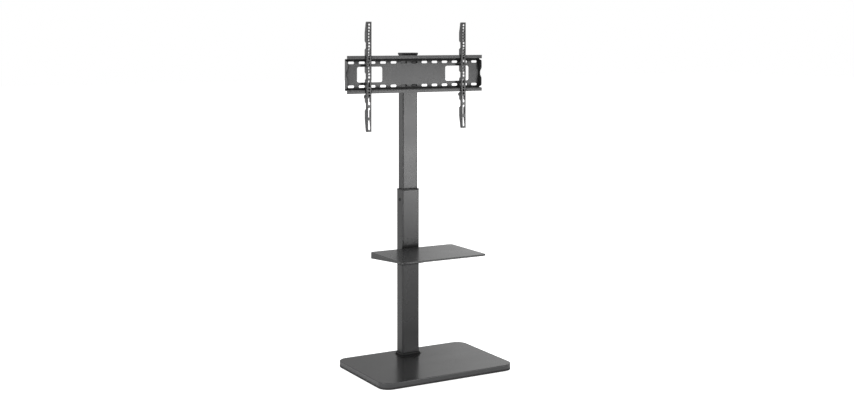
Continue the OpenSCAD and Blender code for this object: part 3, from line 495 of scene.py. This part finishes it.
# %% Build the tree that places copies
def new_geometry_tree(name, inputs, output):
    tree = bpy.data.node_groups.new(name, "GeometryNodeTree")
    for socket, kind, value in inputs:
        made = tree.interface.new_socket(socket, in_out="INPUT", socket_type=kind)
        if value is not None:
            made.default_value = value
    tree.interface.new_socket(output, in_out="OUTPUT", socket_type="NodeSocketGeometry")
    return tree, tree.nodes.new("NodeGroupInput"), tree.nodes.new("NodeGroupOutput")


def copies_on_points(tree, start, form):
    """Nodes that put the form on the points, realise the copies and paint them."""
    along = add_node(tree, "GeometryNodeInputNamedAttribute", {"data_type": "FLOAT_VECTOR"},
                     Name="along")
    align = add_node(tree, "FunctionNodeAlignRotationToVector", {"axis": "Z"},
                     Vector=along.outputs["Attribute"])
    copies = add_node(tree, "GeometryNodeInstanceOnPoints", Points=start.outputs["Places"],
                      Instance=form, Rotation=align.outputs["Rotation"])
    real = add_node(tree, "GeometryNodeRealizeInstances", Geometry=copies.outputs["Instances"])
    paint = add_node(tree, "GeometryNodeSetMaterial", Geometry=real.outputs["Geometry"],
                     Material=start.outputs["Finish"])
    return paint.outputs["Geometry"]


def make_copies_tree():
    tree, start, end = new_geometry_tree(
        "copies of a form",
        [("Places", "NodeSocketGeometry", None), ("Form", "NodeSocketObject", None),
         ("Finish", "NodeSocketMaterial", None)],
        "Copies",
    )
    form = add_node(tree, "GeometryNodeObjectInfo", Object=start.outputs["Form"])
    copies = copies_on_points(tree, start, form.outputs["Geometry"])
    feed(tree, end.inputs["Copies"], copies)
    return tree


COPIES = make_copies_tree()
print("copies tree has", len(COPIES.nodes), "nodes")

# %% [markdown]
# ## Screw threads, made by Geometry Nodes
#
# A thread is one ridge that winds round a rod. A bump texture would leave the rod's outline
# smooth, and a cut with a Boolean is slow and fragile. Here a Spiral curve is the path, a
# small four-sided profile is swept along it, and the result is put on every bolt end of the
# same size. The tree takes the sizes as named inputs, so that one tree serves every screw.

# %% Build the thread tree
THREAD_STEPS = 24
PROFILE_SIDES = 4


def make_thread_tree():
    tree, start, end = new_geometry_tree(
        "screw thread",
        [("Places", "NodeSocketGeometry", None), ("Radius", "NodeSocketFloat", 4 * MM),
         ("Pitch", "NodeSocketFloat", 1.25 * MM), ("Length", "NodeSocketFloat", 3 * MM),
         ("Ridge", "NodeSocketFloat", 0.3 * MM), ("Finish", "NodeSocketMaterial", None)],
        "Thread",
    )
    sizes = start.outputs
    turns = maths(tree, "DIVIDE", sizes["Length"], sizes["Pitch"])
    spiral = add_node(tree, "GeometryNodeCurveSpiral", Resolution=THREAD_STEPS, Rotations=turns,
                      Start_Radius=sizes["Radius"], End_Radius=sizes["Radius"],
                      Height=sizes["Length"])
    profile = add_node(tree, "GeometryNodeCurvePrimitiveCircle", Resolution=PROFILE_SIDES,
                       Radius=sizes["Ridge"])
    sweep = add_node(tree, "GeometryNodeCurveToMesh", Curve=spiral.outputs["Curve"],
                     Profile_Curve=profile.outputs["Curve"], Fill_Caps=True)
    feed(tree, end.inputs["Thread"], copies_on_points(tree, start, sweep.outputs["Mesh"]))
    return tree


THREAD = make_thread_tree()
print("thread tree has", len(THREAD.nodes), "nodes")

# %% [markdown]
# ## From a tree to a plain mesh
#
# A finished piece must be a plain mesh whose object sits at the origin, because a live
# modifier or a moved object would be lost or shifted when the stand is exported. So a tree
# runs on a helper object whose vertices mark the places, the evaluated result is copied, and
# the helper goes away. A modifier's input is set by its identifier, looked up by name.


# %% Run a tree on marked places
def marked_places(name, places):
    """A mesh of loose points; each place is (point, direction) in metres."""
    mesh = bpy.data.meshes.new(name)
    mesh.from_pydata([tuple(point) for point, _ in places], [], [])
    along = mesh.attributes.new("along", "FLOAT_VECTOR", "POINT")
    for index, (_, direction) in enumerate(places):
        along.data[index].vector = direction
    made = bpy.data.objects.new(name, mesh)
    bpy.context.scene.collection.objects.link(made)
    return made


def grown(name, places, tree, slot, **values):
    """Runs the tree on the places with the named values, and returns a plain mesh object."""
    helper = marked_places(name + "_places", places)
    values["Finish"] = FINISH_OF_SLOT[slot]
    modifier = helper.modifiers.new("grow", "NODES")
    modifier.node_group = tree
    for item in tree.interface.items_tree:
        if item.item_type == "SOCKET" and item.in_out == "INPUT" and item.name in values:
            modifier[item.identifier] = values[item.name]
    bpy.context.view_layer.update()
    ready = helper.evaluated_get(bpy.context.evaluated_depsgraph_get())
    mesh = bpy.data.meshes.new_from_object(ready)
    mesh.name = name
    helper.modifiers.remove(modifier)
    bpy.data.objects.remove(helper)
    made = bpy.data.objects.new(name, mesh)
    bpy.context.scene.collection.objects.link(made)
    return made


def dress(made, body, replaced=None):
    """Ties a finished piece to a body, and hides what it stands for."""
    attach(made, body)
    if replaced:
        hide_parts(replaced)
    print(made.name, "has", len(made.data.polygons), "faces")
    return made


def put_copies(name, form, places, body, slot, replaced=None):
    """Puts a copy of form on every place, as one piece; the form itself goes away."""
    made = grown(name, places, COPIES, slot, Form=form)
    bpy.data.objects.remove(form)
    return dress(made, body, replaced)


print("trees that can run:", COPIES.name, "and", THREAD.name)

# %% [markdown]
# ## Turned forms
#
# A bolt, a nut and a pad are all rings of points round an axis, joined by faces. A cylinder
# with a Bevel modifier would round a bolt's head, but not cut the curved chamfer where a
# turned cone meets the flats of a hexagon. In rings both are easy: a ring's radius may change
# with the angle, which gives hexagons, and its height may too, which gives that chamfer.

# %% Make a turned form
ROUND_STEPS = 48
WELD_GAP = 0.0001 * MM
SHARP_DEG = 28


def at_angle(value, angle):
    return value(angle) if callable(value) else value


def turned(name, rings, closed=False):
    """A mesh object from rings of (radius, height); closed joins the last to the first."""
    points, faces = [], []
    for radius, height in rings:
        for step in range(ROUND_STEPS):
            angle = math.tau * step / ROUND_STEPS
            reach = at_angle(radius, angle)
            points.append((reach * math.cos(angle), reach * math.sin(angle), at_angle(height, angle)))
    count = len(rings) if closed else len(rings) - 1
    for ring in range(count):
        low = ring * ROUND_STEPS
        high = (ring + 1) % len(rings) * ROUND_STEPS
        for step in range(ROUND_STEPS):
            after = (step + 1) % ROUND_STEPS
            faces.append((low + step, low + after, high + after, high + step))
    mesh = bpy.data.meshes.new(name)
    mesh.from_pydata(points, [], faces)
    tidy = bmesh.new()
    tidy.from_mesh(mesh)
    bmesh.ops.remove_doubles(tidy, verts=tidy.verts, dist=WELD_GAP)
    bmesh.ops.recalc_face_normals(tidy, faces=tidy.faces)
    tidy.to_mesh(mesh)
    tidy.free()
    mesh.shade_smooth()
    mesh.set_sharp_from_angle(angle=math.radians(SHARP_DEG))
    made = bpy.data.objects.new(name, mesh)
    bpy.context.scene.collection.objects.link(made)
    return made


print("a ring has", ROUND_STEPS, "points")

# %% [markdown]
# ## Hexagon bolts and nuts
#
# A bolt's head and a nut are turned bars with six flats. Each corner is turned off at 30
# degrees, so that a round face of nearly the width across flats is left. The shank's tip has
# a bevel, the nut's bore is sunk at both mouths, and a flanged nut has a wide round foot.

# %% Make hexagonal forms
CHAMFER_SLOPE = math.tan(math.radians(30))
FACE_SHARE = 0.95
TIP_SHARE = 0.2
SUNK_SHARE = 0.125
FLANGE_RIM_SHARE, FLANGE_TOP_SHARE = 0.125, 0.25


def hex_radius(flats):
    """Distance from the axis to the side of a hexagon with a corner at angle zero."""
    sixth = math.tau / 6
    return lambda angle: flats / 2 / math.cos(angle % sixth - sixth / 2)


def chamfer(flats, start, sign):
    """Height of the edge where the chamfer's cone meets the hexagon's sides."""
    side = hex_radius(flats)
    return lambda angle: start + sign * (side(angle) - FACE_SHARE * flats / 2) * CHAMFER_SLOPE


def hex_bolt(name, flats, head, radius, length):
    """Head below zero, shank from zero to length, with a bevelled tip."""
    side = hex_radius(flats)
    bevel = radius * TIP_SHARE
    return turned(name, [
        (0, -head), (FACE_SHARE * flats / 2, -head), (side, chamfer(flats, -head, 1)),
        (side, 0), (radius, 0), (radius, length - bevel), (radius - bevel, length), (0, length),
    ])


def hex_nut(name, flats, height, bore, flange=None):
    """A nut from zero to height, with a countersunk bore, and a flange at zero if asked."""
    side = hex_radius(flats)
    sunk = bore * SUNK_SHARE
    if flange:
        foot = [(flange, 0), (flange, height * FLANGE_RIM_SHARE),
                (side, height * FLANGE_TOP_SHARE)]
    else:
        foot = [(FACE_SHARE * flats / 2, 0), (side, chamfer(flats, 0, 1))]
    return turned(name, [(bore, sunk), (bore + sunk, 0)] + foot + [
        (side, chamfer(flats, height, -1)), (FACE_SHARE * flats / 2, height),
        (bore + sunk, height), (bore, height - sunk),
    ], closed=True)


print("chamfer slope:", round(CHAMFER_SLOPE, 3))

# %% [markdown]
# ## Where the fasteners are
#
# The places could be typed in, but then they would stay behind when the model changes. So
# the places and most sizes are read from the imported fasteners: along a given axis, each
# loose solid's box gives its place, its length and its width across flats.

# %% Read the loose solids of a part
MERGE_GAP = 0.001 * MM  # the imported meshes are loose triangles
X, Y, Z = 0, 1, 2


def islands(part):
    """Centre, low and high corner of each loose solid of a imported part."""
    mesh = bmesh.new()
    mesh.from_mesh(nodes[part].data)
    bmesh.ops.remove_doubles(mesh, verts=mesh.verts, dist=MERGE_GAP)
    todo = set(mesh.verts)
    found = []
    while todo:
        stack = [todo.pop()]
        group = []
        while stack:
            vert = stack.pop()
            group.append(vert.co.copy())
            for edge in vert.link_edges:
                other = edge.other_vert(vert)
                if other in todo:
                    todo.remove(other)
                    stack.append(other)
        low = Vector([min(point[axis] for point in group) for axis in (X, Y, Z)])
        high = Vector([max(point[axis] for point in group) for axis in (X, Y, Z)])
        found.append(((low + high) / 2, low, high))
    mesh.free()
    return sorted(found, key=lambda item: tuple(item[0]))


def unit(axis, sign):
    direction = Vector((0, 0, 0))
    direction[axis] = sign
    return direction


def across_flats(low, high, axis):
    """The narrower of a hexagon's two widths across its axis."""
    return min(high[other] - low[other] for other in (X, Y, Z) if other != axis)


def far_end(part, axis, sign):
    """Where a part ends along an axis, on its plus or its minus side."""
    low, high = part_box(part)
    return high[axis] if sign > 0 else low[axis]


def near_ends(found, axis, sign, start=0.0):
    """A place on each solid's axis, start past the end that it is entered from."""
    places = []
    for centre, low, high in found:
        point = centre.copy()
        point[axis] = low[axis] + start if sign > 0 else high[axis] - start
        places.append((point, unit(axis, sign)))
    return places


for part in ("cross_bolts", "plate_studs", "clamp_bolts", "tray_studs"):
    print(part, "has", len(islands(part)), "loose solids")

# %% [markdown]
# ## Bolts, nuts and their threads
#
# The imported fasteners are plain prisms, which is right for the solids. Seen from behind, the
# real ones have chamfers, countersinks and threads. Putting loose details on the prisms would
# leave their sharp corners showing, so detailed bolts and nuts take the prisms' place, at the
# same sizes, and a thread is wound on each end that stands out of its nut. The studs keep
# their plain solids, because only their threaded ends show.

# %% Tools for bolts, nuts and threads
RIDGE = 0.28 * MM
BORE_GAP = 0.05 * MM
SCREW_RADIUS = {"M8": 4 * MM, "M6": 3 * MM, "M5": 2.5 * MM}
SCREW_PITCH = {"M8": 1.25 * MM, "M6": 1.0 * MM, "M5": 0.8 * MM}
NUT_FLATS = {"M8": 13 * MM, "M6": 10 * MM, "M5": 8 * MM}


def make_threads(name, bolts, nuts, axis, sign, size, body, slot):
    """Winds a thread on the ends of bolts that stand out of their nuts along an axis."""
    radius = SCREW_RADIUS[size]
    face = far_end(nuts, axis, sign)
    length = abs(far_end(bolts, axis, sign) - face) - radius * TIP_SHARE - RIDGE
    places = []
    for centre, _, _ in islands(bolts):
        point = centre.copy()
        point[axis] = face + sign * RIDGE
        places.append((point, unit(axis, sign)))
    made = grown(name, places, THREAD, slot, Radius=radius - RIDGE / 2, Length=length,
                 Pitch=SCREW_PITCH[size], Ridge=RIDGE)
    return dress(made, body)


def make_bolts(name, part, axis, sign, head, size, body, slot):
    """Bolts whose tips point along sign, with their heads at the other end."""
    found = islands(part)
    _, low, high = found[0]
    form = hex_bolt(name + "_form", across_flats(low, high, axis), head, SCREW_RADIUS[size],
                    high[axis] - low[axis] - head)
    return put_copies(name, form, near_ends(found, axis, sign, head), body, slot, part)


def make_nuts(name, part, axis, sign, size, body, slot, flange=None):
    found = islands(part)
    _, low, high = found[0]
    form = hex_nut(name + "_form", NUT_FLATS[size], high[axis] - low[axis],
                   SCREW_RADIUS[size] + BORE_GAP, flange)
    return put_copies(name, form, near_ends(found, axis, sign), body, slot, part)


print("screw radii in metres:", SCREW_RADIUS)

# %% Make the threads
make_threads("cross_bolt_threads", "cross_bolts", "cross_nuts", X, 1, "M8", "mast", "black_steel")
make_threads("plate_stud_threads", "plate_studs", "plate_nuts", Y, 1, "M6", "mast", "zinc_steel")
make_threads("clamp_bolt_threads", "clamp_bolts", "clamp_nuts", Y, -1, "M6", "stand",
             "black_steel")
make_threads("tray_stud_threads", "tray_studs", "tray_nuts", Z, -1, "M5", "stand", "zinc_steel")

# %% Make the bolts and nuts
CROSS_BOLT_HEAD = 5.3 * MM
CLAMP_BOLT_HEAD = 4 * MM
PLATE_NUT_FLANGE = 6 * MM

make_bolts("cross_bolt_forms", "cross_bolts", X, 1, CROSS_BOLT_HEAD, "M8", "mast", "black_steel")
make_nuts("cross_nut_forms", "cross_nuts", X, 1, "M8", "mast", "black_steel")
make_nuts("plate_nut_forms", "plate_nuts", Y, 1, "M6", "mast", "zinc_steel", PLATE_NUT_FLANGE)
make_bolts("clamp_bolt_forms", "clamp_bolts", Y, -1, CLAMP_BOLT_HEAD, "M6", "stand",
           "black_steel")
make_nuts("clamp_nut_forms", "clamp_nuts", Y, -1, "M6", "stand", "black_steel")
make_nuts("tray_nut_forms", "tray_nuts", Z, -1, "M5", "stand", "zinc_steel")

# %% [markdown]
# ## Ringed pads under the board
#
# A rubber pad is moulded with rings, so that it grips the floor. It could be a disc with
# grooves cut out of it, but a pad is the same all round, so half of its section says it all:
# a flat top on the board, a rounded rim, and two grooves and a hollow below.

# %% Make the pads
GROOVE = 0.7 * MM
PAD_RIM_SHARE = 0.25
PAD_GROOVE_SHARES = (0.72, 0.42)
PAD_HOLLOW_EDGE_SHARE, PAD_HOLLOW_FLOOR_SHARE = 0.16, 0.12


def make_pads():
    found = islands("base_pads")
    places = [((centre.x, centre.y, low.z), (0, 0, 1)) for centre, low, _ in found]
    _, low, high = found[0]
    rim = (high.x - low.x) / 2
    top = high.z - low.z
    soft = top * PAD_RIM_SHARE
    rings = [(0, top), (rim - soft, top), (rim, top - soft), (rim, soft), (rim - soft, 0)]
    for share in PAD_GROOVE_SHARES:
        ring = rim * share
        rings += [(ring + 2 * GROOVE, 0), (ring + GROOVE, GROOVE), (ring - GROOVE, GROOVE),
                  (ring - 2 * GROOVE, 0)]
    rings += [(rim * PAD_HOLLOW_EDGE_SHARE, 0), (rim * PAD_HOLLOW_FLOOR_SHARE, GROOVE),
              (0, GROOVE)]
    form = turned("pad_form", rings)
    return put_copies("ringed_pads", form, places, "stand", "rubber", "base_pads")


make_pads()

# %% [markdown]
# ## Weld beads
#
# The shelf bracket's channel is welded to its back plate. A weld laid by hand is a row of
# small overlapping scales. A smooth swept tube would look like glue, so the row is made of
# scales too, one flattened bead a little further on than the last. It runs up the inside of
# one cheek, across under the web and down the other, in the corner where the channel meets
# the plate.

# %% Lay the weld
BEAD = 1.5 * MM
BEAD_STEP = 1.3 * MM
BEAD_SUNK = BEAD / 3
BEAD_ARCS = 8
BEAD_LENGTH_SHARE = 0.8
CHANNEL_WIDTH = 44 * MM
CHANNEL_SHEET = 3 * MM
CHANNEL_HEIGHT = 22 * MM


def points_between(start, stop, step):
    count = max(1, round((stop - start).length / step))
    return [start.lerp(stop, index / count) for index in range(count + 1)]


def make_weld():
    inner = CHANNEL_WIDTH / 2 - CHANNEL_SHEET - BEAD_SUNK
    top = far_end("shelf_bracket", Z, 1)
    web = top - CHANNEL_SHEET - BEAD_SUNK
    foot = top - CHANNEL_HEIGHT + BEAD
    depth = far_end("shelf_tray", Y, 1) - BEAD_SUNK
    corners = [Vector((-inner, depth, foot)), Vector((-inner, depth, web)),
               Vector((inner, depth, web)), Vector((inner, depth, foot))]
    places = []
    for start, stop in zip(corners, corners[1:]):
        direction = (stop - start).normalized()
        places += [(point, direction) for point in points_between(start, stop, BEAD_STEP)]
    turns = [math.pi * step / BEAD_ARCS for step in range(BEAD_ARCS + 1)]
    form = turned("bead_form", [
        (BEAD * math.sin(turn), -BEAD * BEAD_LENGTH_SHARE * math.cos(turn)) for turn in turns
    ])
    return put_copies("shelf_bracket_weld", form, places, "stand", "coated_steel")


make_weld()

# %% [markdown]
# ## Grip ribs on the latches
#
# Each latch is let go with a fingertip, so its thumb tab has fine ribs round its end. They
# are real mesh and not a bump, because they show in the tab's outline. The tab's round end is
# the rearmost and lowest form of the latch, so the latch's box gives its middle.

# %% Make the grip ribs
TAB_RADIUS = 7 * MM
RIB = 0.45 * MM
RIB_ANGLES_DEG = (-75, -50, -25, 0, 25, 50, 75)


def make_ribs(side):
    low, high = (Vector(corner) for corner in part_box(side + "_latch"))
    middle = Vector((low.x, high.y - TAB_RADIUS, low.z + TAB_RADIUS))
    width = high.x - low.x
    places = []
    for degrees in RIB_ANGLES_DEG:
        angle = math.radians(degrees)
        offset = Vector((0, math.cos(angle), math.sin(angle))) * TAB_RADIUS
        places.append((middle + offset, (1, 0, 0)))
    form = turned("rib_form", [
        (0, RIB), (RIB, RIB * 2), (RIB, width - RIB * 2), (0, width - RIB),
    ])
    return put_copies(side + "_latch_ribs", form, places, side + "_latch", "black_plastic")


for side in ("left", "right"):
    make_ribs(side)

# %% [markdown]
# ## The studio
#
# A pale floor and a white surround. A picture of a real studio could light the scene, but a
# few nodes that read only the direction do as well and stay in this file. The floor's own
# colour is near white; for camera rays a glow is added, so that it meets the white background
# without an edge while the object's shadow stays. In glossy surfaces the surround is brighter
# on the right than on the left, and dimmer in front, as in a studio with its lamps on one
# side and a dark room behind the camera. That gives the flat tops their slow change from dark
# to light, and the rounded edges their dark lines.

# %% Make the floor
FLOOR_HALF = 30.0
FLOOR_TONE = 0.74
FLOOR_ROUGHNESS = 0.9
FLOOR_GLOW = 0.82
FLOOR_GLOW_GLOSSY = 0.02


def seen_directly(tree, path):
    """A mask for what the camera sees, also through glass, from the tree's Light Path."""
    return maths(tree, "MAXIMUM", path.outputs["Is Camera Ray"],
                 path.outputs["Is Transmission Ray"])


def make_floor():
    mesh = bpy.data.meshes.new("studio_floor")
    half = FLOOR_HALF
    mesh.from_pydata([(-half, -half, 0), (half, -half, 0), (half, half, 0), (-half, half, 0)],
                     [], [(0, 1, 2, 3)])
    floor = bpy.data.objects.new("studio_floor", mesh)
    bpy.context.scene.collection.objects.link(floor)
    material, tree, shader = new_material("studio_floor")
    shader.inputs["Base Color"].default_value = (FLOOR_TONE, FLOOR_TONE, FLOOR_TONE, 1)
    shader.inputs["Roughness"].default_value = FLOOR_ROUGHNESS
    shader.inputs["Specular IOR Level"].default_value = 0.0
    path = add_node(tree, "ShaderNodeLightPath")
    glow = maths(tree, "MULTIPLY", seen_directly(tree, path), FLOOR_GLOW)
    faint = maths(tree, "MULTIPLY", path.outputs["Is Glossy Ray"], FLOOR_GLOW_GLOSSY)
    shader.inputs["Emission Color"].default_value = (1, 1, 1, 1)
    feed(tree, shader.inputs["Emission Strength"], maths(tree, "MAXIMUM", glow, faint))
    mesh.materials.append(material)
    return floor


print("floor:", make_floor().name, "of", 2 * FLOOR_HALF, "metres")

# %% Make the surround
SOFT_LIGHT = 0.74
SURROUND_LEFT, SURROUND_RIGHT = 0.46, 0.96
SURROUND_TURN_DEG = 30.2
SURROUND_BLUR = 0.05
FRONT_DIMMING = 0.75


def surround_in_gloss(tree):
    """Brightness of the surround in glossy surfaces, by direction, as a socket."""
    direction = add_node(tree, "ShaderNodeTexCoord").outputs["Generated"]
    turn = math.radians(SURROUND_TURN_DEG)
    across = add_node(tree, "ShaderNodeVectorMath", {"operation": "DOT_PRODUCT"})
    feed(tree, across.inputs[0], direction)
    feed(tree, across.inputs[1], (math.cos(turn), -math.sin(turn), 0))
    ramp = add_node(tree, "ShaderNodeMapRange", {"interpolation_type": "SMOOTHSTEP"},
                    Value=across.outputs["Value"], From_Min=-SURROUND_BLUR,
                    From_Max=SURROUND_BLUR, To_Min=SURROUND_LEFT, To_Max=SURROUND_RIGHT)
    split = add_node(tree, "ShaderNodeSeparateXYZ", Vector=direction)
    front = maths(tree, "MAXIMUM", maths(tree, "MULTIPLY", split.outputs["Y"], -1.0), 0.0)
    dimmed = maths(tree, "SUBTRACT", 1.0, maths(tree, "MULTIPLY", front, FRONT_DIMMING))
    return maths(tree, "MULTIPLY", dimmed, ramp.outputs["Result"])


def make_world():
    world = bpy.data.worlds.new("studio_world")
    bpy.context.scene.world = world
    world.use_nodes = True
    tree = world.node_tree
    background = tree.nodes["Background"]
    background.inputs["Color"].default_value = (1, 1, 1, 1)
    path = add_node(tree, "ShaderNodeLightPath")
    glossy = maths(tree, "MULTIPLY", path.outputs["Is Glossy Ray"], surround_in_gloss(tree))
    plain = maths(tree, "MULTIPLY", path.outputs["Is Diffuse Ray"], SOFT_LIGHT)
    light = maths(tree, "MAXIMUM", glossy, plain)
    light = maths(tree, "MAXIMUM", light, seen_directly(tree, path))
    feed(tree, background.inputs["Strength"], light)
    return world


print("surround:", make_world().name)

# %% [markdown]
# ## Lamps
#
# The post shines brightest at its top and darkens downwards. A spot from above would do the
# opposite. It is the reflection of a low soft lamp on the right in front, seen at a slant: the
# higher the point, the more of the lamp it mirrors. A large lamp over the stand lights all
# that faces up, one behind on the left gives the left faces their sheen, and a wide one at the
# left softens the near edges.


# %% Place the lamps
def area_lamp(name, place, target, size, watts):
    data = bpy.data.lights.new(name, "AREA")
    data.shape = "RECTANGLE"
    data.size, data.size_y = size
    data.energy = watts
    lamp = bpy.data.objects.new(name, data)
    lamp.location = place
    aim = Vector(target) - Vector(place)
    lamp.rotation_euler = aim.to_track_quat("-Z", "Y").to_euler()
    bpy.context.scene.collection.objects.link(lamp)
    return lamp


lamps = [
    area_lamp("key_lamp", place=(2.3, -4.0, 0.56), target=(0, 0, 0.9), size=(1.2, 1.1), watts=37),
    area_lamp("top_lamp", place=(0.6, -1.5, 3.4), target=(0, -0.3, 0), size=(2.0, 2.0), watts=48),
    area_lamp("back_lamp", place=(-2.2, 2.8, 1.2), target=(0, 0, 0.7), size=(1.2, 1.6), watts=8),
    area_lamp("edge_lamp", place=(-3.0, -1.1, 1.0), target=(0, 0, 0.7), size=(1.5, 2.4), watts=62),
]
print("lamps:", [lamp.name for lamp in lamps])

# %% [markdown]
# ## Finish
#
# The picture is shown with the Standard view, so colours come out as they are written.

# %% Set the view transform
bpy.context.scene.view_settings.view_transform = "Standard"
